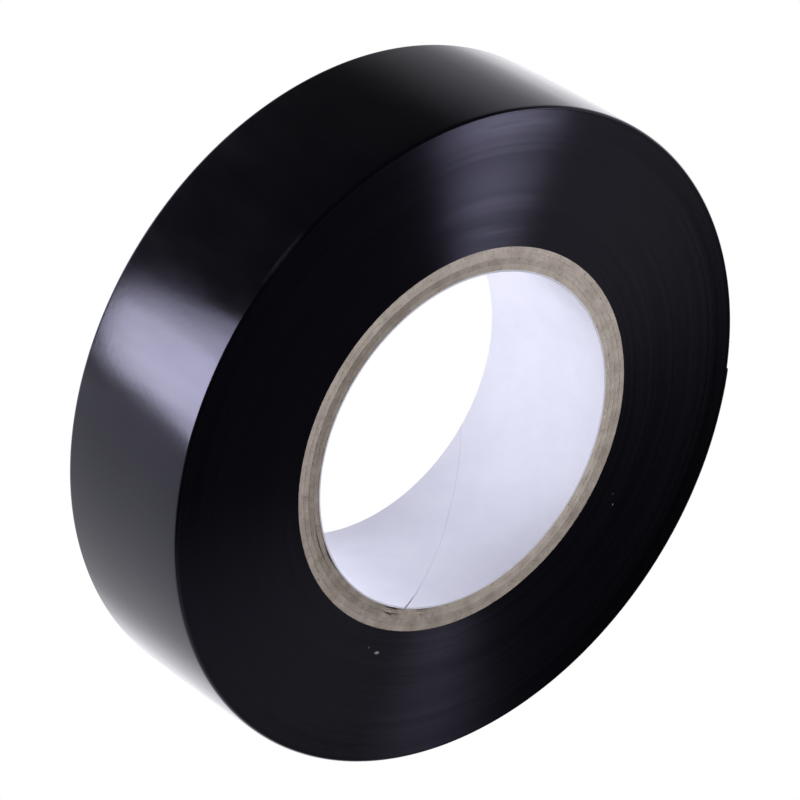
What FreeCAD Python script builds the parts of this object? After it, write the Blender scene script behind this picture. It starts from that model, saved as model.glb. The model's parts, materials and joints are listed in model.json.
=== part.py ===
import FreeCAD, Part
import os
import Sketcher

# A roll of PVC electrical insulating tape on a spirally wound paper core.
#
# The roll lies flat: its axis is Z, z = 0 is the lower side of the roll and the
# origin is on the axis. Every winding is a two-centre spiral. Each half turn is a
# half circle, the two centres stand a quarter of the tape's thickness to either
# side of the axis, and so each half turn is half a tape thickness larger than the
# last. The tape's cut end points along end_direction, and the last stretch before
# it, free_arc long, is the free end that peels off. It is cut into equal segments,
# and neighbouring segments hinge on their outer edge.
#
# Lengths are in millimetres. Directions are in degrees about Z, from +X. The seams of
# the core's layers are helices that turn once in seam_lead, and the direction of a
# seam is where it meets the lower side of the roll.

SIZES = [
    ("tape_width", "19.0"),
    ("bore_radius", "19.2"),
    ("liner_thickness", "0.2"),
    ("ply_thickness", "0.65"),
    ("ply_count", "4"),
    ("seam_lead", "90.0"),
    ("liner_seam_direction", "94.0"),
    ("ply_seam_direction_1", "94.0"),
    ("ply_seam_direction_2", "187.0"),
    ("ply_seam_direction_3", "12.0"),
    ("ply_seam_direction_4", "263.0"),
    ("liner_seam_gap", "0.2"),
    ("ply_seam_gap", "0.5"),
    ("film_thickness", "0.11"),
    ("adhesive_thickness", "0.03"),
    ("turn_count", "112"),
    ("end_direction", "126.0"),
    ("free_arc", "72.0"),
    ("segment_count", "6"),
    ("release_gap", "0.04"),
]

CORE_RADIUS = "(Sizes.bore_radius + Sizes.liner_thickness + Sizes.ply_count * Sizes.ply_thickness)"
TAPE = "(Sizes.film_thickness + Sizes.adhesive_thickness)"
END_RADIUS = f"({CORE_RADIUS} + Sizes.turn_count * {TAPE})"
SEGMENT_ARC = "(Sizes.free_arc / Sizes.segment_count)"

SLOT_MARGIN = 0.1

doc = FreeCAD.newDocument("tape_roll")
nodes = {}


def make_sizes():
    sheet = doc.addObject("Spreadsheet::Sheet", "Sizes")
    for row, (alias, value) in enumerate(SIZES, start=1):
        sheet.set(f"A{row}", alias)
        sheet.set(f"B{row}", value)
        sheet.setAlias(f"B{row}", alias)
    doc.recompute()
    return sheet


def origin_feature(body, role):
    return next(item for item in body.Origin.OriginFeatures if item.Role == role)


def attached_sketch(body, name, role):
    sketch = body.newObject("Sketcher::SketchObject", name)
    sketch.AttachmentSupport = [(origin_feature(body, role), "")]
    sketch.MapMode = "FlatFace"
    return sketch


# ---- the paper core ---------------------------------------------------------------


def draw_ring(sketch, inner, outer):
    """Two circles about the axis, their radii bound to the two expressions."""
    for index, radius in enumerate((inner, outer)):
        circle = Part.Circle(FreeCAD.Vector(0, 0, 0), FreeCAD.Vector(0, 0, 1), 20.0 + index)
        sketch.addGeometry(circle, False)
        sketch.addConstraint(Sketcher.Constraint("Coincident", index, 3, -1, 1))
        size = sketch.addConstraint(Sketcher.Constraint("Radius", index, 20.0 + index))
        sketch.setExpression(f"Constraints[{size}]", radius)


def draw_slot(sketch, inner, outer, gap):
    """A rectangle a little wider than the wall, below the roll, that a helix sweeps through it."""
    left, right, low, high = 18.0, 24.0, -3.0, -2.0
    corners = [(left, low), (right, low), (right, high), (left, high)]
    for start, stop in zip(corners, corners[1:] + corners[:1]):
        line = Part.LineSegment(FreeCAD.Vector(*start, 0), FreeCAD.Vector(*stop, 0))
        sketch.addGeometry(line, False)
    for side in range(4):
        sketch.addConstraint(Sketcher.Constraint("Coincident", side, 2, (side + 1) % 4, 1))
    for side in (0, 2):
        sketch.addConstraint(Sketcher.Constraint("Horizontal", side))
    for side in (1, 3):
        sketch.addConstraint(Sketcher.Constraint("Vertical", side))
    places = [
        ("DistanceX", left, f"{inner} - {SLOT_MARGIN}"),
        ("DistanceY", low, "-3 * Sizes.ply_seam_gap"),
    ]
    for kind, value, expression in places:
        place = sketch.addConstraint(Sketcher.Constraint(kind, -1, 1, 0, 1, value))
        sketch.setExpression(f"Constraints[{place}]", expression)
    spans = [
        ("DistanceX", 0, right - left, f"{outer} - {inner} + {2 * SLOT_MARGIN}"),
        ("DistanceY", 1, high - low, gap),
    ]
    for kind, side, value, expression in spans:
        span = sketch.addConstraint(Sketcher.Constraint(kind, side, 1, side, 2, value))
        sketch.setExpression(f"Constraints[{span}]", expression)


def make_core_ring(name, inner, outer, seam, gap):
    """One layer of the core: a strip wound into a tube, with the open helical seam of its edges."""
    body = doc.addObject("PartDesign::Body", name)
    ring = attached_sketch(body, f"{name}_ring", "XY_Plane")
    draw_ring(ring, inner, outer)
    wall = body.newObject("PartDesign::Pad", f"{name}_wall")
    wall.Profile = ring
    wall.setExpression("Length", "Sizes.tape_width")
    slot = attached_sketch(body, f"{name}_slot", "XZ_Plane")
    draw_slot(slot, inner, outer, gap)
    doc.recompute()
    whole = wall.Shape.Volume
    cut = body.newObject("PartDesign::SubtractiveHelix", f"{name}_seam")
    cut.Profile = slot
    cut.ReferenceAxis = (origin_feature(body, "Z_Axis"), [""])
    cut.Mode = "pitch-height-angle"
    cut.LeftHanded = True
    cut.setExpression("Pitch", "Sizes.seam_lead")
    cut.setExpression("Height", "Sizes.tape_width + 6 * Sizes.ply_seam_gap")
    body.Tip = cut
    turn = FreeCAD.Rotation(FreeCAD.Vector(0, 0, 1), 1.0)
    body.Placement = FreeCAD.Placement(FreeCAD.Vector(0, 0, 0), turn)
    body.setExpression("Placement.Rotation.Angle", seam)
    doc.recompute()
    if not 0.95 * whole < cut.Shape.Volume < 0.999 * whole:
        raise RuntimeError(f"{name}: the seam doesn't cut through the wall")
    nodes[name] = body


def make_core():
    liner = "(Sizes.bore_radius + Sizes.liner_thickness)"
    seam = "Sizes.liner_seam_direction"
    make_core_ring("core_liner", "Sizes.bore_radius", liner, seam, "Sizes.liner_seam_gap")
    for number in range(1, int(sizes.ply_count) + 1):
        inner = f"({liner} + {number - 1} * Sizes.ply_thickness)"
        outer = f"({liner} + {number} * Sizes.ply_thickness)"
        seam = f"Sizes.ply_seam_direction_{number}"
        make_core_ring(f"core_ply_{number}", inner, outer, seam, "Sizes.ply_seam_gap")


# ---- the wound tape ---------------------------------------------------------------


def make_sector(name, radius, centre, start, arc):
    """A sector of a cylinder. centre is its distance from the axis towards the cut end."""
    sector = doc.addObject("Part::Cylinder", name)
    sector.setExpression("Radius", radius)
    sector.setExpression("Height", "Sizes.tape_width")
    sector.setExpression("Angle", arc)
    sector.setExpression("Placement.Base.x", f"{centre} * cos(Sizes.end_direction)")
    sector.setExpression("Placement.Base.y", f"{centre} * sin(Sizes.end_direction)")
    sector.setExpression("Placement.Rotation.Angle", start)
    return sector


def make_cut(name, base, tool):
    cut = doc.addObject("Part::Cut", name)
    cut.Base = base
    cut.Tool = tool
    return cut


def make_spiral(name, depth):
    """The disc inside the surface that lies at this depth in the last turn of tape."""
    large = f"{END_RADIUS} - {TAPE} / 4 - {depth}"
    small = f"{large} - {TAPE} / 2"
    end = "Sizes.end_direction"
    large_half = make_sector(f"{name}_large_half", large, f"{TAPE} / 4", f"{end} - 180", "180")
    small_half = make_sector(f"{name}_small_half", small, f"-{TAPE} / 4", end, "180")
    disc = doc.addObject("Part::MultiFuse", name)
    disc.Shapes = [large_half, small_half]
    disc.Refine = True
    return disc


def make_winding():
    """All turns but the last, as one solid annulus with the tape's step in its outer surface."""
    hub = doc.addObject("Part::Cylinder", "winding_hub")
    hub.setExpression("Radius", CORE_RADIUS)
    hub.setExpression("Height", "Sizes.tape_width")
    nodes["tape_winding"] = make_cut("tape_winding", make_spiral("under_last_turn", TAPE), hub)


def make_last_turn():
    """The bonded part of the last turn, from the winding's step to the peel line, layer by layer."""
    layers = [("film", "0", "Sizes.film_thickness"), ("adhesive", "Sizes.film_thickness", TAPE)]
    for layer, top, bottom in layers:
        outside = make_spiral(f"last_{layer}_outside", top)
        inside = make_spiral(f"last_{layer}_inside", bottom)
        turn = make_cut(f"last_{layer}_turn", outside, inside)
        start = "Sizes.end_direction - Sizes.free_arc"
        beyond = f"2 * {END_RADIUS}"
        free = make_sector(f"last_{layer}_free", beyond, f"{TAPE} / 4", start, "Sizes.free_arc")
        nodes[f"tape_last_turn_{layer}"] = make_cut(f"tape_last_turn_{layer}", turn, free)


def make_end_segment(number):
    """One hinged segment of the free end, a film and an adhesive layer, just clear of the turn below."""
    layers = [("film", "0", "Sizes.film_thickness"), ("adhesive", "Sizes.film_thickness", TAPE)]
    start = f"Sizes.end_direction - Sizes.free_arc + {number - 1} * {SEGMENT_ARC}"
    for layer, top, bottom in layers:
        name = f"tape_end_{layer}_{number}"
        surface = f"{END_RADIUS} - {TAPE} / 4 + Sizes.release_gap"
        outside = make_sector(f"{name}_outside", f"{surface} - {top}", f"{TAPE} / 4", start, SEGMENT_ARC)
        inside = make_sector(f"{name}_inside", f"{surface} - {bottom}", f"{TAPE} / 4", start, SEGMENT_ARC)
        nodes[name] = make_cut(name, outside, inside)


def check_model():
    for item in doc.Objects:
        if {"Invalid", "Error"} & set(item.State):
            raise RuntimeError(f"{item.Name} failed: {item.State}")
    for name, item in nodes.items():
        shape = item.Shape
        if shape.isNull() or not shape.isValid() or len(shape.Solids) != 1:
            raise RuntimeError(f"{name} isn't one valid solid")
        box = shape.optimalBoundingBox(False)
        spans = ((box.XMin, box.XMax), (box.YMin, box.YMax), (box.ZMin, box.ZMax))
        extent = ", ".join(f"{low:.3f} to {high:.3f}" for low, high in spans)
        print(f"{name:24} {shape.Volume:10.2f} mm3, {extent}")


sizes = make_sizes()
make_core()
make_winding()
make_last_turn()
for segment in range(1, int(sizes.segment_count) + 1):
    make_end_segment(segment)
doc.recompute()
for name, item in nodes.items():
    item.Label = name
check_model()
os.makedirs("parts", exist_ok=True)
for name, item in nodes.items():
    item.Shape.exportStep(f"parts/{name}.step")
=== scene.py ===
import json
import math

import bmesh
import bpy
import numpy as np
from mathutils import Matrix, Vector


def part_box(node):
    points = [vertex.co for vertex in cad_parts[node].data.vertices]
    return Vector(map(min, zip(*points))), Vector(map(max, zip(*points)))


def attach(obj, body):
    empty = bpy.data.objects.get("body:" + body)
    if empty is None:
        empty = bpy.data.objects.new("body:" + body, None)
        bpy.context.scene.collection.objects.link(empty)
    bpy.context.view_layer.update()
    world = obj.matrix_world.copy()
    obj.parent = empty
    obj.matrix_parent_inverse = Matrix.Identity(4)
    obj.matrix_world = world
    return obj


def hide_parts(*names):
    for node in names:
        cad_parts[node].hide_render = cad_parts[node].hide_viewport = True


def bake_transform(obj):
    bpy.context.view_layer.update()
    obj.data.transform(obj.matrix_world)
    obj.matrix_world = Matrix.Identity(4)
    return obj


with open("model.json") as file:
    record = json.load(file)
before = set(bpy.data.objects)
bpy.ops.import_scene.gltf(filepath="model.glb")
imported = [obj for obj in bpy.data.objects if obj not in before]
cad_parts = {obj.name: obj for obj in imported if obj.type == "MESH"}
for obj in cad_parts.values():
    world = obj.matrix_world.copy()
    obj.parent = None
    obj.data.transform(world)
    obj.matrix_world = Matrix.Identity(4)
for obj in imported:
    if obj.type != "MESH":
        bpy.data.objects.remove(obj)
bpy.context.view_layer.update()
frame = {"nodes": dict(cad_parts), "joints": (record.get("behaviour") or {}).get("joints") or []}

# A roll of black PVC insulating tape on a paper core. Lengths are in metres, angles in degrees.
# Directions round the roll are angles about its axis, Z, from +X towards +Y.

MM = 0.001
CROWN = 0.12 * MM            # how far the roll's outside bulges in the middle of the tape's width
SHOULDER = 0.21 * MM         # how far its rounded edges fall away,
SHOULDER_WIDTH = 0.44 * MM   # and over what width


# ---- sizes, read from the frame ---------------------------------------------------


def radii(node):
    """Smallest and largest distance of a CAD node from the roll's axis."""
    points = np.array([v.co for v in frame["nodes"][node].data.vertices])
    distance = np.hypot(points[:, 0], points[:, 1])
    return float(distance.min()), float(distance.max())


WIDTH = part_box("tape_winding")[1].z
BORE, LINER_OUT = radii("core_liner")
PLIES = 4
CORE = radii(f"core_ply_{PLIES}")[1]
PLY = (CORE - LINER_OUT) / PLIES
WOUND = radii("tape_winding")[1]
TAPE = WOUND - radii("tape_last_turn_adhesive")[0]
END_RADIUS = WOUND + TAPE
JOINTS = {joint["name"]: joint for joint in frame["joints"]}


def direction_of(point):
    """Direction of a point round the roll's axis."""
    return math.degrees(math.atan2(point[1], point[0]))


PEEL = direction_of(JOINTS["peel"]["pos_m"])
SEGMENT = direction_of(JOINTS["bend_2"]["pos_m"]) - PEEL
SEGMENTS = len(JOINTS)
END = PEEL + SEGMENTS * SEGMENT
TURNS = round((END_RADIUS - CORE) / TAPE)


def crown(z):
    """How far the outside falls away from its middle: a slight bulge and two rounded edges."""
    z = np.asarray(z, float)
    bulge = CROWN * np.abs(2 * z / WIDTH - 1) ** 3
    from_edge = np.clip(np.minimum(z, WIDTH - z) / SHOULDER_WIDTH, 0, 1)
    return bulge + SHOULDER * (1 - from_edge) ** 2


def turn_radius(direction):
    """Radius of the outside of the last turn, a spiral from END - 360 to END that is largest at END."""
    back = END - np.asarray(direction, float)
    return END_RADIUS - TAPE * back / 360.0


# ---- small tools ------------------------------------------------------------------


def wave(seed, count, low, high):
    """A smooth random function of a direction, from -1 to 1, made of whole waves round the circle."""
    rng = np.random.RandomState(seed)
    orders = rng.randint(low, high + 1, count)
    phases = rng.uniform(0, 2 * math.pi, count)
    sizes = rng.uniform(0.5, 1.0, count)

    def value(direction):
        t = np.radians(np.asarray(direction, float))[..., None]
        return (sizes * np.sin(orders * t + phases)).sum(-1) / sizes.sum()

    return value


def smooth_noise(seed, count, step):
    """Smooth random values from -1 to 1 at count places, changing over about step places."""
    rng = np.random.RandomState(seed)
    knots = rng.uniform(-1, 1, int(count / step) + 3)
    return np.interp(np.arange(count) / step, np.arange(len(knots)), knots)


def unit(azimuth, height):
    """The direction at this azimuth and height."""
    a, h = math.radians(azimuth), math.radians(height)
    return Vector((math.cos(a) * math.cos(h), math.sin(a) * math.cos(h), math.sin(h)))


def angle_from(direction, place):
    """The degrees from place to direction, from -180 to 180."""
    return np.mod(direction - place + 180.0, 360.0) - 180.0


def smoothstep(low, high, value):
    """0 up to low, 1 from high on and a smooth rise between."""
    t = np.clip((np.asarray(value, float) - low) / (high - low), 0, 1)
    return t * t * (3 - 2 * t)


def make_mesh(name, points, faces, materials, kinds=None):
    """A smooth-shaded object. kinds are the faces' places in the list of materials."""
    mesh = bpy.data.meshes.new(name)
    mesh.from_pydata(np.asarray(points, float).tolist(), [], [tuple(int(i) for i in f) for f in faces])
    for material in materials:
        mesh.materials.append(material)
    if kinds is not None:
        mesh.polygons.foreach_set("material_index", np.asarray(kinds, np.int32))
    mesh.polygons.foreach_set("use_smooth", np.ones(len(mesh.polygons), bool))
    mesh.validate()
    work = bmesh.new()
    work.from_mesh(mesh)
    bmesh.ops.recalc_face_normals(work, faces=work.faces)
    work.to_mesh(mesh)
    work.free()
    mesh.update()
    piece = bpy.data.objects.new(name, mesh)
    bpy.context.scene.collection.objects.link(piece)
    return piece


def sharpen(piece, angle):
    """Edges sharper than angle, in degrees, show as edges; the rest shades smooth."""
    piece.data.set_sharp_from_angle(angle=math.radians(angle))


def swept_loop(columns, loop_length):
    """Faces of a loop of points carried from column to column, with both ends closed."""
    faces = []
    for c in range(columns - 1):
        here = c * loop_length
        there = here + loop_length
        for k in range(loop_length):
            n = (k + 1) % loop_length
            faces.append((here + k, here + n, there + n, there + k))
    faces.append(tuple(range(loop_length))[::-1])
    faces.append(tuple(range((columns - 1) * loop_length, columns * loop_length)))
    return faces


# ---- materials --------------------------------------------------------------------


class Nodes:
    """A node tree under construction: adds nodes and links them by name."""

    def __init__(self, tree):
        self.tree = tree

    def node(self, kind, settings=None, **inputs):
        made = self.tree.nodes.new("ShaderNode" + kind)
        for key, value in (settings or {}).items():
            setattr(made, key, value)
        for key, value in inputs.items():
            self.put(made.inputs[key.replace("_", " ")], value)
        return made

    def put(self, socket, value):
        if isinstance(value, bpy.types.NodeSocket):
            self.tree.links.new(value, socket)
        else:
            socket.default_value = value

    def math(self, operation, first, second=0.0):
        made = self.node("Math", {"operation": operation})
        self.put(made.inputs[0], first)
        self.put(made.inputs[1], second)
        return made.outputs[0]

    def along(self, vector, azimuth, height):
        """How far a vector reaches in the direction at this azimuth and height."""
        made = self.node("VectorMath", {"operation": "DOT_PRODUCT"})
        self.put(made.inputs[0], vector)
        made.inputs[1].default_value = unit(azimuth, height)
        return made.outputs["Value"]

    def remap(self, value, low, high, out_low, out_high, settings=None):
        """The value with low to high stretched to out_low to out_high, and held at both ends."""
        made = self.node("MapRange", settings)
        self.put(made.inputs["Value"], value)
        self.put(made.inputs["From Min"], low)
        self.put(made.inputs["From Max"], high)
        self.put(made.inputs["To Min"], out_low)
        self.put(made.inputs["To Max"], out_high)
        return made.outputs[0]


class Shader(Nodes):
    """A material under construction, around its Principled shader."""

    def __init__(self, name):
        self.material = bpy.data.materials.new(name)
        self.material.use_nodes = True
        super().__init__(self.material.node_tree)
        self.surface = self.tree.nodes["Principled BSDF"]

    def set(self, **inputs):
        for key, value in inputs.items():
            self.put(self.surface.inputs[key.replace("_", " ")], value)

    def place(self):
        """The place on the object, in metres."""
        return self.node("TexCoord").outputs["Object"]

    def scaled(self, vector, scale):
        made = self.node("VectorMath", {"operation": "MULTIPLY"})
        self.put(made.inputs[0], vector)
        made.inputs[1].default_value = scale
        return made.outputs[0]

    def noise(self, vector, scale, detail=2.0, rough=0.5, distortion=0.0):
        made = self.node("TexNoise", Scale=scale, Detail=detail, Roughness=rough, Distortion=distortion)
        self.put(made.inputs["Vector"], vector)
        return made.outputs["Fac"]

    def mix(self, fac, first, second):
        made = self.node("Mix", {"data_type": "RGBA"})
        self.put(made.inputs[0], fac)
        self.put(made.inputs[6], first)
        self.put(made.inputs[7], second)
        return made.outputs[2]

    def bump(self, height, strength, distance, normal=None):
        made = self.node("Bump", Strength=strength, Distance=distance, Height=height)
        if normal is not None:
            self.put(made.inputs["Normal"], normal)
        return made.outputs[0]

    def ring_place(self, radial, around):
        """A texture place that changes quickly with radius and slowly round the roll."""
        split = self.node("SeparateXYZ", Vector=self.place()).outputs
        square = self.math("ADD", self.math("MULTIPLY", split[0], split[0]),
                           self.math("MULTIPLY", split[1], split[1]))
        radius = self.math("SQRT", square)
        made = self.node("CombineXYZ")
        self.put(made.inputs[0], self.math("MULTIPLY", radius, radial))
        self.put(made.inputs[1], self.math("MULTIPLY", self.math("DIVIDE", split[0], radius), around))
        self.put(made.inputs[2], self.math("MULTIPLY", self.math("DIVIDE", split[1], radius), around))
        return made.outputs[0]


# A streak of the rim, along its upper edge, that is rubbed dull and painted a lighter grey: a painted
# highlight.
RUBBED_HIGHLIGHT = -99.0                   # direction of its middle
RUBBED_HIGHLIGHT_REACH = 8.0               # degrees from there to where it ends
RUBBED_HIGHLIGHT_FULL = RUBBED_HIGHLIGHT_REACH / 3   # degrees from there within which it is dullest and its painted highlight lightest
RUBBED_HIGHLIGHT_DEPTH = 0.25 * MM         # how far its middle lies below the upper side
RUBBED_HIGHLIGHT_HALF = 0.3 * MM           # half the width that is fully dull and fully lightened
RUBBED_HIGHLIGHT_EDGE = 0.65 * MM          # half its whole width


def rubbed_edge_and_painted_highlight(s, place):
    """How much the rim is rubbed dull and painted lighter as a highlight, from 0 to 1."""
    begins = END_RADIUS * math.cos(math.radians(RUBBED_HIGHLIGHT_REACH))
    dullest = END_RADIUS * math.cos(math.radians(RUBBED_HIGHLIGHT_FULL))
    streak = s.remap(s.along(place, RUBBED_HIGHLIGHT, 0.0), begins, dullest, 0.0, 1.0)
    height = s.node("SeparateXYZ", Vector=place).outputs[2]
    off = s.math("ABSOLUTE", s.math("SUBTRACT", height, WIDTH - RUBBED_HIGHLIGHT_DEPTH))
    streak = s.math("MULTIPLY", streak, s.remap(off, RUBBED_HIGHLIGHT_HALF, RUBBED_HIGHLIGHT_EDGE, 1.0, 0.0))
    ragged = s.noise(place, 1100.0, 3.0, 0.6)
    return s.math("MULTIPLY", streak, s.remap(ragged, 0.3, 0.6, 0.35, 1.0))


def film_material():
    """Glossy calendered PVC: deep black with a violet cast, a faint orange peel, softer patches and a
    rubbed streak painted lighter grey as a highlight.
    """
    s = Shader("pvc_film")
    place = s.place()
    patches = s.remap(s.noise(place, 90.0, 3.0, 0.6), 0.3, 0.7, 0.0, 1.0)
    black = s.mix(patches, (0.0020, 0.0018, 0.0032, 1), (0.0034, 0.0031, 0.0052, 1))
    rubbed_and_highlight = rubbed_edge_and_painted_highlight(s, place)
    # The streak's lighter grey is a painted highlight; its added roughness makes it duller.
    s.set(Base_Color=s.mix(rubbed_and_highlight, black, (0.034, 0.034, 0.037, 1)))
    smear = s.noise(s.scaled(place, (1.0, 1.0, 0.25)), 420.0, 4.0, 0.6)
    gloss = s.remap(smear, 0.25, 0.75, 0.125, 0.185)
    s.set(Roughness=s.math("ADD", gloss, s.math("MULTIPLY", rubbed_and_highlight, 0.2)))
    peel = s.noise(place, 1500.0, 2.0, 0.5)
    fine = s.noise(place, 5200.0, 1.0, 0.5)
    normal = s.bump(peel, 0.10, 0.03 * MM)
    s.set(Normal=s.bump(fine, 0.05, 0.01 * MM, normal))
    s.surface.inputs["IOR"].default_value = 1.5
    s.surface.inputs["Specular Tint"].default_value = (0.70, 0.68, 0.97, 1)
    return s.material


def side_material():
    """The knife-cut sides of the winding: satin black, its gloss drawn out across the rings."""
    s = Shader("wound_side")
    rings = s.noise(s.ring_place(5200.0, 1.4), 1.0, 3.0, 0.65)
    bands = s.noise(s.ring_place(900.0, 0.8), 1.0, 3.0, 0.6)
    both = s.math("ADD", s.math("MULTIPLY", rings, 0.5), s.math("MULTIPLY", bands, 0.5))
    shade = s.remap(both, 0.35, 0.65, 0.0, 1.0)
    s.set(Base_Color=s.mix(shade, (0.0034, 0.0029, 0.0048, 1), (0.0056, 0.0048, 0.0074, 1)))
    s.set(Roughness=s.remap(both, 0.3, 0.7, 0.29, 0.38))
    normal = s.bump(rings, 0.25, 0.02 * MM)
    s.set(Normal=s.bump(bands, 0.25, 0.06 * MM, normal))
    s.surface.inputs["Anisotropic"].default_value = 1.0
    s.surface.inputs["Anisotropic Rotation"].default_value = 0.25
    s.surface.inputs["Specular Tint"].default_value = (0.71, 0.68, 1.0, 1)
    s.surface.inputs["Specular IOR Level"].default_value = 0.40
    round_the_axis = s.node("Tangent", {"direction_type": "RADIAL", "axis": "Z"})
    s.put(s.surface.inputs["Tangent"], round_the_axis.outputs[0])
    return s.material


def cut_edge_material():
    """The cut across the tape at its end, and the steps where the spiral starts and stops."""
    s = Shader("film_cut_edge")
    place = s.place()
    grain = s.noise(place, 2500.0, 3.0, 0.6)
    s.set(Base_Color=s.mix(grain, (0.002, 0.002, 0.003, 1), (0.005, 0.0045, 0.007, 1)))
    s.set(Roughness=s.remap(grain, 0.3, 0.7, 0.45, 0.6))
    s.set(Normal=s.bump(grain, 0.2, 0.02 * MM))
    return s.material


def adhesive_material():
    """The tape's tacky rubber side: black, glossy in patches, stringy from being pulled off."""
    s = Shader("adhesive")
    place = s.place()
    strings = s.noise(s.scaled(place, (1.0, 1.0, 0.12)), 1700.0, 4.0, 0.65)
    pools = s.noise(place, 260.0, 2.0, 0.5)
    s.set(Base_Color=s.mix(pools, (0.010, 0.010, 0.011, 1), (0.020, 0.019, 0.020, 1)))
    s.set(Roughness=s.remap(pools, 0.3, 0.7, 0.25, 0.5))
    s.set(Normal=s.bump(strings, 0.5, 0.04 * MM))
    s.surface.inputs["Specular IOR Level"].default_value = 0.4
    return s.material


def board_material(index, soiled_side, soil_most):
    """Grey-beige core board with darker specks and pale broken fibres, soiled on one side of the roll."""
    s = Shader(f"core_board_{index}")
    place = s.place()
    fibre = s.noise(s.ring_place(2600.0, 26.0), 1.0, 4.0, 0.7)
    mottle = s.noise(place, 520.0, 4.0, 0.65)
    specks = s.noise(place, 2300.0, 2.0, 0.6)
    tone = 1.0 + 0.05 * math.sin(2.1 * index)   # some plies are a little lighter than others
    pale = (0.72 * tone, 0.63 * tone, 0.54 * tone, 1)
    dull = (0.54 * tone, 0.465 * tone, 0.39 * tone, 1)
    base = s.mix(s.remap(mottle, 0.36, 0.64, 0.0, 1.0), dull, pale)
    handled = s.along(place, soiled_side, 0.0)
    soil = s.remap(handled, -0.45 * CORE, 0.45 * CORE, 0.0, soil_most)
    soil = s.math("MULTIPLY", soil, s.remap(mottle, 0.3, 0.7, 1.15, 0.8))
    base = s.mix(soil, base, (0.20, 0.165, 0.125, 1))
    base = s.mix(s.remap(fibre, 0.55, 0.75, 0.0, 0.4), base, (0.58, 0.54, 0.44, 1))
    base = s.mix(s.remap(specks, 0.62, 0.74, 0.0, 0.5), base, (0.16, 0.13, 0.10, 1))
    s.set(Base_Color=base, Roughness=0.92)
    normal = s.bump(fibre, 0.6, 0.08 * MM)
    s.set(Normal=s.bump(mottle, 0.5, 0.10 * MM, normal))
    s.surface.inputs["Specular IOR Level"].default_value = 0.25
    return s.material


def liner_material():
    """The white paper lining: faintly mottled, a little fluffy, with long fibres along its wrap."""
    s = Shader("liner_paper")
    place = s.place()
    cloud = s.noise(place, 160.0, 4.0, 0.6)
    fibre = s.noise(s.scaled(place, (1.0, 1.0, 2.2)), 1900.0, 4.0, 0.7)
    base = s.mix(s.remap(cloud, 0.35, 0.65, 0.0, 1.0), (0.86, 0.86, 0.95, 1), (0.91, 0.91, 0.99, 1))
    base = s.mix(s.remap(fibre, 0.58, 0.75, 0.0, 0.35), base, (0.76, 0.76, 0.82, 1))
    s.set(Base_Color=base, Roughness=s.remap(cloud, 0.3, 0.7, 0.62, 0.8))
    s.set(Normal=s.bump(fibre, 0.35, 0.05 * MM))
    s.surface.inputs["Specular IOR Level"].default_value = 0.35
    return s.material


FILM = film_material()
SIDE = side_material()
CUT_EDGE = cut_edge_material()
ADHESIVE = adhesive_material()
LINER_PAPER = liner_material()


# ---- the wound tape ---------------------------------------------------------------

COLUMNS = 210          # places round one turn of the winding
FLANK = 0.985          # part of a turn's thickness over which its edge slopes down to the next one out
SQUEEZED = 6.0         # turns over which the fall of the roll's rounded edges dies away inwards
GROOVE = 0.038 * MM    # depth of the groove between two turns
OUTER_DEPTH = 1.25     # part of that depth at the outside of the roll,
DEPTH_LOSS = 0.8       # and how much less of it there is at the core
LEAST_DEPTH = 0.1      # part of it that is left where the grooves are shallowest

# How much the depth of the grooves varies, as a part of it, and over how many turns.
SWELL = (0.22, 53)
SWELL_PEAK = 13        # turn from the outside where the swell is greatest
SLOW_CHANGE = (0.22, 8.0)
QUICK_CHANGE = (0.15, 2.5)

# How far the turns' edges stray from the side, in millimetres, and over how many turns they do.
DRIFT = (0.020, 14.0)
WANDER = (0.010, 3.0)
SWAY = (0.012, 9.0)
JITTER = 0.004

# Half of the places across the winding's outside, as parts of the width from an edge.
ACROSS_OUTSIDE = [0.007, 0.015, 0.024, 0.07, 0.14, 0.23, 0.35]

# Where the upper side is scuffed: turn from the outside, turns either way, direction, degrees either way.
SCUFFS = [
    (93, 2.2, -140.0, 6.0),
    (97, 1.4, -147.0, 5.0),
    (10, 2.6, -146.0, 7.0),
]


def side_offsets(seed, turns, directions):
    """How far each turn's edge stands in from the side, by turn and direction, never below 0."""
    drift = DRIFT[0] * smooth_noise(seed, turns, DRIFT[1])
    drift += WANDER[0] * smooth_noise(seed + 1, turns, WANDER[1])
    jitter = JITTER * np.random.RandomState(seed + 2).uniform(-1, 1, turns)
    swaying = SWAY[0] * smooth_noise(seed + 3, turns, SWAY[1])
    sway = swaying[:, None] * wave(seed + 4, 3, 1, 3)(directions)[None, :]
    offset = (drift + jitter)[:, None] + sway
    return (offset - offset.min()) * MM


def groove_depths(seed, turns, turn):
    """Depth of the groove outside each turn. It swells, varies and gets less towards the core."""
    part = 1 + SWELL[0] * np.cos(2 * math.pi * (np.arange(turns) - SWELL_PEAK) / SWELL[1])
    slow = SLOW_CHANGE[0] * smooth_noise(seed + 5, turns, SLOW_CHANGE[1])
    quick = QUICK_CHANGE[0] * smooth_noise(seed + 6, turns, QUICK_CHANGE[1])
    part += slow + quick
    return GROOVE * np.maximum(part[turn], LEAST_DEPTH) * (OUTER_DEPTH - DEPTH_LOSS * turn / turns)


def scuffed(turn, direction):
    """How much deeper the grooves are where the upper side is scuffed."""
    more = np.zeros(len(turn))
    for middle, turns, place, spread in SCUFFS:
        away = angle_from(direction, place)
        more += np.exp(-((turn - middle) / turns) ** 2 - (away / spread) ** 2)
    return more


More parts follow.
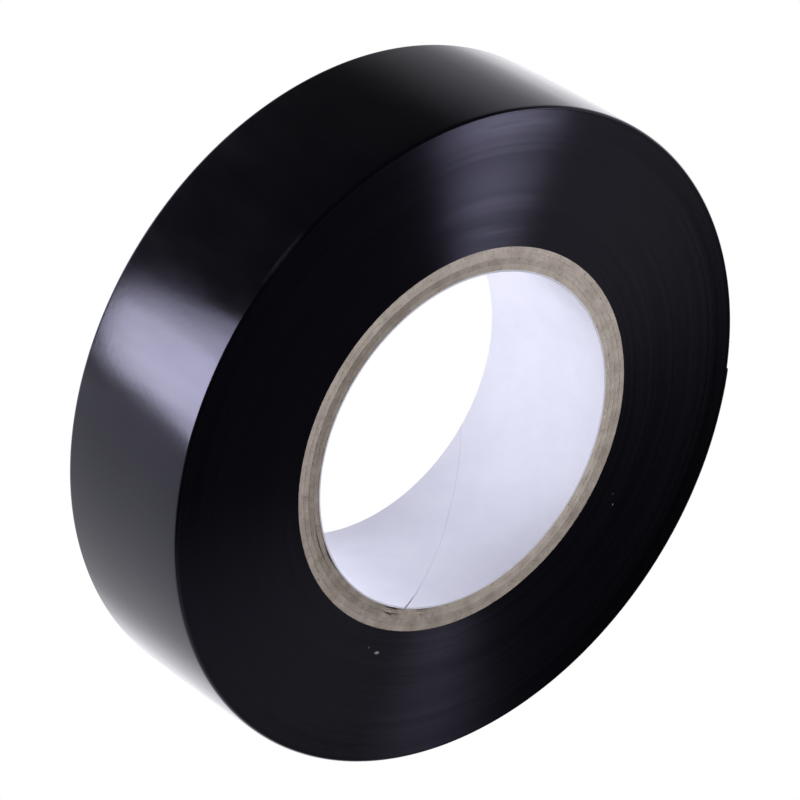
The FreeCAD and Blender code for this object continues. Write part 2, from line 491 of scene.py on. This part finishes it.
def winding_radii(column):
    """Radius of the groove outside a turn and of the crest near its inside, at each column.

    Where the spiral would run into the core, it is held just outside it, one turn above the next.
    """
    squeeze = crown(0.0) * np.exp(-column / COLUMNS / SQUEEZED)
    outside = END_RADIUS - TAPE - TAPE * column / COLUMNS - squeeze
    pitch = TAPE - squeeze * (1 - math.exp(-1 / SQUEEZED))
    to_go = (len(column) - column) / COLUMNS
    groove = np.maximum(outside, CORE + 0.002 * MM * to_go)
    crest = np.maximum(outside - FLANK * pitch, CORE + 0.001 * MM * to_go)
    return groove, crest


def spiral_points(radius, angle, level):
    """Points at these radii, angles in radians and heights."""
    return np.stack([radius * np.cos(angle), radius * np.sin(angle), level], 1)


def outer_walls(points, angle, groove, groove_low):
    """The columns of points across the winding's outside, between the outermost grooves."""
    half = np.array(ACROSS_OUTSIDE)
    across = WIDTH * np.concatenate([1 - half, [0.5], half[::-1]])
    walls = []
    for column in range(COLUMNS + 1):
        wall = [groove + column]
        for z in across:
            radius = END_RADIUS - TAPE - TAPE * column / COLUMNS - crown(z)
            wall.append(len(points))
            points.append((radius * math.cos(angle[column]), radius * math.sin(angle[column]), z))
        wall.append(groove_low + column)
        walls.append(wall)
    return walls


def make_winding():
    """All turns but the last: the cut edges on both sides, the outside and the inside."""
    turns = TURNS - 1
    count = turns * COLUMNS
    column = np.arange(count + COLUMNS + 1)
    angle = np.radians(END - 360.0 * column / COLUMNS)
    turn = np.minimum(column // COLUMNS, turns - 1)
    groove_radius, crest_radius = winding_radii(column)
    side_kind, film_kind, cut_kind = range(3)
    points, faces, kinds = [], [], []
    starts = []
    for seed, level, inwards in ((11, WIDTH, -1), (47, 0.0, 1)):
        upper = level > 0
        offset = side_offsets(seed, turns, END - 360.0 * np.arange(COLUMNS) / COLUMNS)
        inset = offset[turn, column % COLUMNS]
        depth = groove_depths(seed, turns, turn)
        if upper:
            depth = depth * (1 + scuffed(column / COLUMNS, np.degrees(angle)))
        grooves = spiral_points(groove_radius, angle, level + inwards * (inset + depth))
        crests = spiral_points(crest_radius, angle, level + inwards * inset)[: count + 1]
        groove = len(points)
        crest = groove + len(grooves)
        starts.append((groove, crest))
        points.extend(grooves.tolist())
        points.extend(crests.tolist())
        for c in range(count):
            quads = [(groove + c, crest + c, crest + c + 1, groove + c + 1),
                     (crest + c, groove + c + COLUMNS, groove + c + 1 + COLUMNS, crest + c + 1)]
            faces.extend(quads if upper else [quad[::-1] for quad in quads])
            kinds.extend((side_kind, side_kind))
    (groove, crest), (groove_low, crest_low) = starts
    walls = outer_walls(points, angle, groove, groove_low)
    for here, there in zip(walls, walls[1:]):
        for a in range(len(here) - 1):
            faces.append((here[a], there[a], there[a + 1], here[a + 1])[::-1])
            kinds.append(film_kind)
    faces.append((crest, *walls[0], crest_low))
    faces.append((crest, groove + COLUMNS, *walls[-1][1:-1], groove_low + COLUMNS, crest_low))
    kinds.extend((cut_kind, cut_kind))
    inner = [(groove + count + c, groove_low + count + c) for c in range(COLUMNS + 1)]
    inner.append((crest + count, crest_low + count))
    for (top, low), (top_next, low_next) in zip(inner, inner[1:] + inner[:1]):
        faces.append((top, top_next, low_next, low))
        kinds.append(film_kind)
    piece = make_mesh("wound_tape", points, faces, [SIDE, FILM, CUT_EDGE], kinds)
    sharpen(piece, 30)
    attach(piece, "roll")
    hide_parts("tape_winding")


# ---- one turn of tape: the last turn and the free end -------------------------------

STEP = 0.25            # degrees between the columns of a single turn
ROUNDING = 0.015 * MM  # how far the film's face falls away beside its cut edges,
ROUNDED = 0.06 * MM    # and over what width
WRINKLE = 0.004 * MM   # height of the shallow ripples along its outer face
WAVER = 0.012 * MM     # how far its cut edges waver
PLAY = 0.004 * MM      # how far its inner face keeps off the turn below
LIFT = 0.05 * MM       # how far the tip of the free end stands off the roll,
LIFTED = 11.0          # and over how many degrees it rises to that

# Half of the places across the film's outer face, in millimetres from an edge.
FROM_EDGE = [0.0, 0.01, 0.03, 0.07, 0.12, 0.18, 0.24, 0.3, 0.37, 0.45, 0.65, 1.1, 1.8, 3.0, 4.8, 6.8, 8.3]
OUTER_PLACES = 2 * len(FROM_EDGE) + 1

# Places across its inner face, from the upper edge to the lower one, as parts of the width.
UNDER = np.array([1.0, 0.993, 0.985, 0.976, 0.93, 0.8, 0.65, 0.5,
                  0.35, 0.2, 0.07, 0.024, 0.015, 0.007, 0.0])

# How the tape's upper and lower cut edges waver, and how its face ripples beside each of them.
rim_sway = wave(71, 5, 2, 9)
rim_sway_low = wave(72, 5, 2, 9)
ripple_a = wave(73, 4, 11, 29)
ripple_b = wave(74, 4, 7, 19)


def film_ring(direction):
    """Radius and height of the points round the tape's cross-section at one direction."""
    half = np.array(FROM_EDGE) * MM
    across = np.concatenate([half, [WIDTH / 2], WIDTH - half[::-1]])
    edge = np.minimum(across, WIDTH - across)
    drop = ROUNDING * np.exp(-edge / ROUNDED)
    part = across / WIDTH
    wrinkle = WRINKLE * (ripple_a(direction) * part + ripple_b(direction) * (1 - part))
    lift = LIFT * smoothstep(END - LIFTED, END, direction) ** 1.5
    outer = turn_radius(direction) - crown(across) - drop + wrinkle + lift
    low = WAVER * (1 + rim_sway_low(direction))
    high = WIDTH - WAVER * (1 + rim_sway(direction))
    z = low + (high - low) * across / WIDTH
    inner = turn_radius(direction) - TAPE + PLAY + lift - crown(WIDTH * UNDER)
    inner_z = low + (high - low) * UNDER
    radius = np.concatenate([outer, inner])
    return radius, np.concatenate([z, inner_z])


def make_film(name, start, stop, body, replaced, blend=None):
    """A stretch of tape from start to stop. It rides on a body, or, when blend is given, stays unattached
    where it is made.
    """
    columns = int(round((stop - start) / STEP)) + 1
    directions = np.linspace(start, stop, columns)
    points = []
    for direction in directions:
        radius, z = film_ring(direction)
        angle = math.radians(direction)
        points.extend(zip(radius * math.cos(angle), radius * math.sin(angle), z))
    faces = swept_loop(columns, OUTER_PLACES + len(UNDER))
    film_kind, side_kind, adhesive_kind, cut_kind = range(4)
    loop_kinds = [film_kind] * (OUTER_PLACES - 1) + [side_kind]
    loop_kinds += [adhesive_kind] * (len(UNDER) - 1) + [side_kind]
    kinds = loop_kinds * (columns - 1) + [cut_kind, cut_kind]
    piece = make_mesh(name, points, faces, [FILM, SIDE, ADHESIVE, CUT_EDGE], kinds)
    sharpen(piece, 40)
    if blend:
        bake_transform(piece)
    else:
        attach(piece, body)
    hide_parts(*replaced)


def rim_point(direction):
    """The point in the middle of the outside at this direction."""
    radius = float(turn_radius(direction))
    angle = math.radians(direction)
    return (radius * math.cos(angle), radius * math.sin(angle), WIDTH / 2)


def make_tape_turn():
    """The bonded part of the last turn, and the free end in one piece per hinge."""
    make_film("last_turn", END - 360.0, PEEL, "roll", ["tape_last_turn_film", "tape_last_turn_adhesive"])
    names = ["roll"] + [f"end_{i}" for i in range(1, SEGMENTS + 1)]
    for i in range(SEGMENTS):
        hinge = PEEL + i * SEGMENT
        start = hinge if i == 0 else hinge - SEGMENT / 2
        bend_to = hinge + SEGMENT / 2
        stop = END if i == SEGMENTS - 1 else bend_to
        replaced = [f"tape_end_film_{i + 1}", f"tape_end_adhesive_{i + 1}"]
        blend = (names[i], names[i + 1], rim_point(start), rim_point(bend_to))
        make_film(f"free_end_{i + 1}", start, stop, None, replaced, blend)


# ---- the paper core -----------------------------------------------------------------

SEAM_LEAD = 90.0 * MM    # height in which a seam turns once round the core
LINER_SEAM = 94.0
PLY_SEAMS = [94.0, 187.0, 12.0, 263.0]
LINER_GAP = 0.14         # degrees between the two edges of the lining at its seam
PLY_GAP = 0.14           # and between those of a ply
LINER_OPENING = 6.0      # by how many gaps the lining's seam is wider at the upper side,
OPENING_DEPTH = 4 * MM   # and how far down it is wider
GLUE_LINE = 0.006 * MM   # space between two plies
CORNER = 0.018 * MM      # how far a layer's corners are worn down
LINER_ROUGH = 0.02 * MM  # how rough the cut ends of the lining are,
PLY_ROUGH = 0.07 * MM    # and those of the plies
TOUCHING = 1e-9          # lengths that differ by less are the same

LAYER_COLUMNS = 961      # places round a layer
WALL_STEPS = 8           # steps across its wall at the cut ends

# Half of the places along its wall, in millimetres from a cut end.
LEVELS = [0.0, 0.05, 0.3, 1.2, 3.0, 5.5, 8.0]

# Each ply's soiled side and how much it is soiled.
SOILED = [(-50.0, 0.56), (-60.0, 0.58), (35.0, 0.42), (40.0, 0.36)]

# Where the upper cut end is torn, layer by layer: direction, half width in degrees, depth.
TORN_LINER = [(13.0, 1.6, 0.10 * MM), (24.5, 1.8, 0.12 * MM)]
TORN_PLIES = [
    [(13.5, 3.4, 0.58 * MM), (25.5, 2.2, 0.52 * MM), (-26.0, 6.0, 0.14 * MM)],
    [(13.0, 2.4, 0.42 * MM), (26.0, 1.4, 0.24 * MM), (-31.0, 7.0, 0.08 * MM)],
    [(150.0, 3.0, 0.05 * MM)],
    [(64.0, 2.0, 0.06 * MM)],
]


def seam_direction(seam, z):
    """Direction of a seam at this height, on a helix that meets the lower side at seam."""
    return seam - 360.0 * z / SEAM_LEAD


def torn(tears, direction):
    """Extra depth where the cut edge is torn."""
    depth = np.zeros_like(direction)
    for place, half_width, deepest in tears:
        away = angle_from(direction, place)
        depth += deepest * np.exp(-(away / half_width) ** 2)
    return depth


def wall_loop(inner, outer):
    """Radius and height of the points round a layer's cross-section."""
    levels = np.array(LEVELS) * MM
    upwards = np.concatenate([levels, [WIDTH / 2], WIDTH - levels[::-1]])
    steps = np.linspace(0, 1, WALL_STEPS + 1)[1:-1]
    thick = outer - inner
    loop = [(inner, z) for z in upwards] + [(inner + thick * step, WIDTH) for step in steps]
    loop += [(outer, z) for z in upwards[::-1]] + [(outer - thick * step, 0.0) for step in steps]
    return np.array(loop)


def worn_depths(radius, level, direction, wall, seed, rough, tears):
    """How far each point of a layer's cut ends is sunk: fuzz, worn corners and torn spots."""
    inner, outer = wall
    top = level >= WIDTH - TOUCHING
    end = top | (level <= TOUCHING)
    fuzz = np.random.RandomState(seed).uniform(0, 1, radius.shape)
    slow = 0.5 + 0.5 * wave(seed + 1, 6, 5, 47)(direction)
    depth = rough * (0.15 + 0.55 * fuzz + 0.5 * slow) * end
    corner = (np.abs(radius - inner) < TOUCHING) | (np.abs(radius - outer) < TOUCHING)
    depth = depth + CORNER * (0.6 + 0.4 * wave(seed + 2, 6, 9, 61)(direction)) * (end & corner)
    across = np.clip((outer - radius) / (outer - inner), 0, 1)
    return depth + torn(tears, direction) * (0.25 + 0.75 * across) * (0.55 + 0.6 * fuzz) * top


def make_core_layer(name, node, material, wall, seam, cut_ends):
    """A strip wound into a tube: a loop across its wall, carried from one seam edge to the other.

    wall is the inner and outer radius, seam is its direction at the lower side, its gap in
    degrees and its opening at the upper side, cut_ends is a seed, the roughness and the tears.
    """
    loop = wall_loop(*wall)
    radius = np.repeat(loop[None, :, 0], LAYER_COLUMNS, 0)
    level = np.repeat(loop[None, :, 1], LAYER_COLUMNS, 0)
    seam_at, gap, opening = seam
    gaps = gap * (1 + opening * smoothstep(WIDTH - OPENING_DEPTH, WIDTH, level))
    along = np.linspace(0, 1, LAYER_COLUMNS)[:, None]
    direction = seam_direction(seam_at, level) + gaps / 2 + (360.0 - gaps) * along
    depth = worn_depths(radius, level, direction, wall, *cut_ends)
    level = np.where(level > WIDTH / 2, level - depth, level + depth)
    angle = np.radians(direction)
    points = np.stack([radius * np.cos(angle), radius * np.sin(angle), level], -1).reshape(-1, 3)
    piece = make_mesh(name, points, swept_loop(LAYER_COLUMNS, len(loop)), [material])
    sharpen(piece, 50)
    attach(piece, "roll")
    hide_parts(node)


def make_core():
    """The lining and the plies."""
    seam = (LINER_SEAM, LINER_GAP, LINER_OPENING)
    make_core_layer("liner", "core_liner", LINER_PAPER, (BORE, LINER_OUT), seam,
                    (201, LINER_ROUGH, TORN_LINER))
    for i in range(PLIES):
        wall = (LINER_OUT + i * PLY + GLUE_LINE / 2, LINER_OUT + (i + 1) * PLY - GLUE_LINE / 2)
        seam = (PLY_SEAMS[i], PLY_GAP, 0.0)
        board = board_material(i + 1, *SOILED[i])
        make_core_layer(f"ply_{i + 1}", f"core_ply_{i + 1}", board, wall, seam,
                        (301 + 10 * i, PLY_ROUGH, TORN_PLIES[i]))


# ---- dust ---------------------------------------------------------------------------


def dust_material():
    """Grey paper dust."""
    s = Shader("dust")
    grain = s.noise(s.place(), 9000.0, 3.0, 0.6)
    s.set(Base_Color=s.mix(grain, (0.16, 0.15, 0.16, 1), (0.46, 0.44, 0.45, 1)), Roughness=0.9)
    s.set(Normal=s.bump(grain, 0.5, 0.03 * MM))
    return s.material


FLAKE_CORNERS = 11

# Height below the upper side's plane and reach of the three rings of points of a flake.
FLAKE_RINGS = [(0.12 * MM, 1.0), (0.03 * MM, 0.85), (0.004 * MM, 0.45)]

# Direction and radius of each flake's place, its length, its width and the direction it lies along.
FLAKES = [
    (14.0, 24.7, 1.05, 0.50, 110.0),
    (10.6, 24.3, 0.36, 0.20, 20.0),
    (15.6, 25.6, 0.16, 0.12, 70.0),
    (96.0, 26.0, 0.34, 0.20, 35.0),
    (98.5, 25.2, 0.16, 0.12, 80.0),
]


def flake_faces(first):
    """The faces of a flake whose points start at first: its sloping sides, its top and its underside."""
    faces = []
    for ring in range(len(FLAKE_RINGS) - 1):
        here = first + ring * FLAKE_CORNERS
        above = here + FLAKE_CORNERS
        for k in range(FLAKE_CORNERS):
            n = (k + 1) % FLAKE_CORNERS
            faces.append((here + k, here + n, above + n, above + k))
    faces.append(tuple(range(above, above + FLAKE_CORNERS)))
    faces.append(tuple(range(first, first + FLAKE_CORNERS))[::-1])
    return faces


def make_dust():
    """Flakes of paper dust that lie on the wound side."""
    rng = np.random.RandomState(5)
    points, faces = [], []
    for direction, radius, long, wide, lies_along in FLAKES:
        a, turn = math.radians(direction), math.radians(lies_along)
        middle = np.array([radius * math.cos(a), radius * math.sin(a)]) * MM
        faces.extend(flake_faces(len(points)))
        for depth, reach in FLAKE_RINGS:
            ragged = rng.uniform(0.65, 1.0, FLAKE_CORNERS) * reach
            for k in range(FLAKE_CORNERS):
                b = 2 * math.pi * k / FLAKE_CORNERS
                x = long / 2 * ragged[k] * math.cos(b) * MM
                y = wide / 2 * ragged[k] * math.sin(b) * MM
                points.append((middle[0] + x * math.cos(turn) - y * math.sin(turn),
                               middle[1] + x * math.sin(turn) + y * math.cos(turn), WIDTH - depth))
    piece = make_mesh("dust_specks", points, faces, [dust_material()])
    sharpen(piece, 50)
    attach(piece, "roll")


# ---- studio ---------------------------------------------------------------------------

# The roll is lit as it stands in the studio, on its rim.
STUDIO_DOWN = 42.7       # direction round the roll's axis that is down in the studio
WHITE = (1, 1, 1, 1)
LENS = 218.6             # focal length, in millimetres
SENSOR = 36.0            # width of the camera's sensor, in millimetres
ROOM = 0.040             # brightness of the dark room
VIEW_HEIGHT = 42.83      # degrees by which the camera looks down at the upper side
VIEW_ROLL = 122.15       # degrees by which it is turned about its own axis
VIEW_DISTANCE = 510.3 * MM   # from the middle of the upper side to the camera
SHIFT_RIGHT = 6.85 * MM      # how far right of the picture's centre that middle stands,
SHIFT_DOWN = 4.35 * MM       # and how far below it


def make_camera():
    """A long lens that looks at the upper side from above, turned as the roll stands on its rim."""
    height, roll = math.radians(VIEW_HEIGHT), math.radians(VIEW_ROLL)
    back = Vector((0, -math.cos(height), math.sin(height)))
    level_right = Vector((1, 0, 0))
    level_up = back.cross(level_right)
    right = level_right * math.cos(roll) + level_up * math.sin(roll)
    up = level_up * math.cos(roll) - level_right * math.sin(roll)
    middle = Vector((0, 0, WIDTH))
    place = middle + VIEW_DISTANCE * back - SHIFT_RIGHT * right + SHIFT_DOWN * up
    data = bpy.data.cameras.new("camera")
    data.sensor_width = SENSOR
    data.lens = LENS
    data.clip_start = 0.01
    camera = bpy.data.objects.new("camera", data)
    turn = Matrix((right, up, back)).transposed().to_4x4()
    camera.matrix_world = Matrix.Translation(place) @ turn
    bpy.context.scene.collection.objects.link(camera)
    bpy.context.scene.camera = camera


class WorldLight(Nodes):
    """The world's nodes: lobes of light, each from a direction."""

    def __init__(self, tree):
        super().__init__(tree)
        self.way = self.node("TexCoord").outputs["Generated"]

    def lobe(self, azimuth, height, low, high, at_low, at_high):
        """Light that goes from at_low to at_high as the way looked in turns to a direction.

        low and high are the cosines, of the angle to that direction, where it starts and stops.
        """
        towards = self.along(self.way, azimuth, height)
        return self.remap(towards, low, high, at_low, at_high, {"interpolation_type": "SMOOTHSTEP"})


def make_world():
    """A white sweep on the studio's down side, a grey one behind it, a dark room above and in front."""
    world = bpy.data.worlds.new("studio")
    bpy.context.scene.world = world
    world.use_nodes = True
    world.node_tree.nodes.clear()
    w = WorldLight(world.node_tree)
    sweep = w.lobe(STUDIO_DOWN, 0.0, -0.05, 0.13, 0.0, 0.77)
    backdrop = w.lobe(120.0, 0.0, 0.33, 0.75, 0.0, 0.47)
    behind = w.lobe(0.0, 90.0, -0.40, -0.02, 1.0, 0.0)
    far = w.lobe(90.0, 0.0, 0.40, 0.68, 0.0, 0.60)
    lit = w.math("MULTIPLY", w.math("ADD", w.math("MAXIMUM", sweep, backdrop), far), behind)
    front = w.lobe(30.0, 12.0, 0.58, 0.95, 0.0, 0.42)
    below = w.lobe(0.0, -90.0, 0.80, 0.93, 0.0, 3.6)
    left = w.lobe(135.0, 20.0, 0.72, 0.97, 0.0, 0.52)
    sides = w.math("ADD", front, left)
    level = w.math("ADD", w.math("ADD", lit, sides), w.math("ADD", below, ROOM))
    studio = w.node("Background", Color=(1.0, 1.0, 1.04, 1), Strength=level)
    seen = w.node("Background", Color=WHITE)
    choose = w.node("MixShader")
    w.put(choose.inputs[0], w.node("LightPath").outputs["Is Camera Ray"])
    w.put(choose.inputs[1], studio.outputs[0])
    w.put(choose.inputs[2], seen.outputs[0])
    w.node("OutputWorld", Surface=choose.outputs[0])


def make_light(name, shape, azimuth, height, distance, size, radiance, colour):
    """A softbox that looks at the roll from a direction. radiance is the brightness of its face."""
    towards = unit(azimuth, height)
    data = bpy.data.lights.new(name, "AREA")
    data.shape = shape
    data.size, data.size_y = size
    data.color = colour
    part = math.pi / 4 if shape == "ELLIPSE" else 1.0
    data.energy = radiance * math.pi * part * size[0] * size[1]
    light = bpy.data.objects.new(name, data)
    light.location = towards * distance + Vector((0, 0, WIDTH / 2))
    light.rotation_euler = towards.to_track_quat("Z", "Y").to_euler()
    light.visible_camera = False
    bpy.context.scene.collection.objects.link(light)


def make_lights():
    """A softbox for the highlight on the rim, brighter towards its middle, and one for the sides."""
    bluish = (1.0, 1.0, 1.08)
    rim, side = 0.60, 0.70   # their distances from the roll
    make_light("rim_softbox_wide", "ELLIPSE", -64.4, -36.4, rim, (0.345, 0.24), 4.2, bluish)
    make_light("rim_softbox_middle", "ELLIPSE", -62.4, -36.2, rim, (0.275, 0.23), 3.2, bluish)
    make_light("rim_softbox_narrow", "RECTANGLE", -61.4, -34.8, rim, (0.16, 0.24), 3.2, bluish)
    make_light("side_softbox", "RECTANGLE", 160.5, 42.0, side, (0.25, 0.32), 11.5, bluish)


def make_floor():
    """A plain pale floor. It is for the camera only, so the studio lights the roll from all round."""
    mesh = bpy.data.meshes.new("floor")
    reach = 4.0
    corners = [(-reach, -reach, 0), (reach, -reach, 0), (reach, reach, 0), (-reach, reach, 0)]
    mesh.from_pydata(corners, [], [(0, 1, 2, 3)])
    floor = bpy.data.objects.new("floor", mesh)
    bpy.context.scene.collection.objects.link(floor)
    material = bpy.data.materials.new("floor_white")
    material.use_nodes = True
    material.node_tree.nodes.clear()
    nodes = Nodes(material.node_tree)
    nodes.node("OutputMaterial", Surface=nodes.node("Emission", Color=WHITE).outputs[0])
    mesh.materials.append(material)
    for ray in ("visible_diffuse", "visible_glossy", "visible_transmission", "visible_shadow"):
        setattr(floor, ray, False)


make_winding()
make_tape_turn()
make_core()
make_dust()
make_camera()
make_world()
make_lights()
make_floor()
bpy.context.scene.view_settings.view_transform = "Standard"
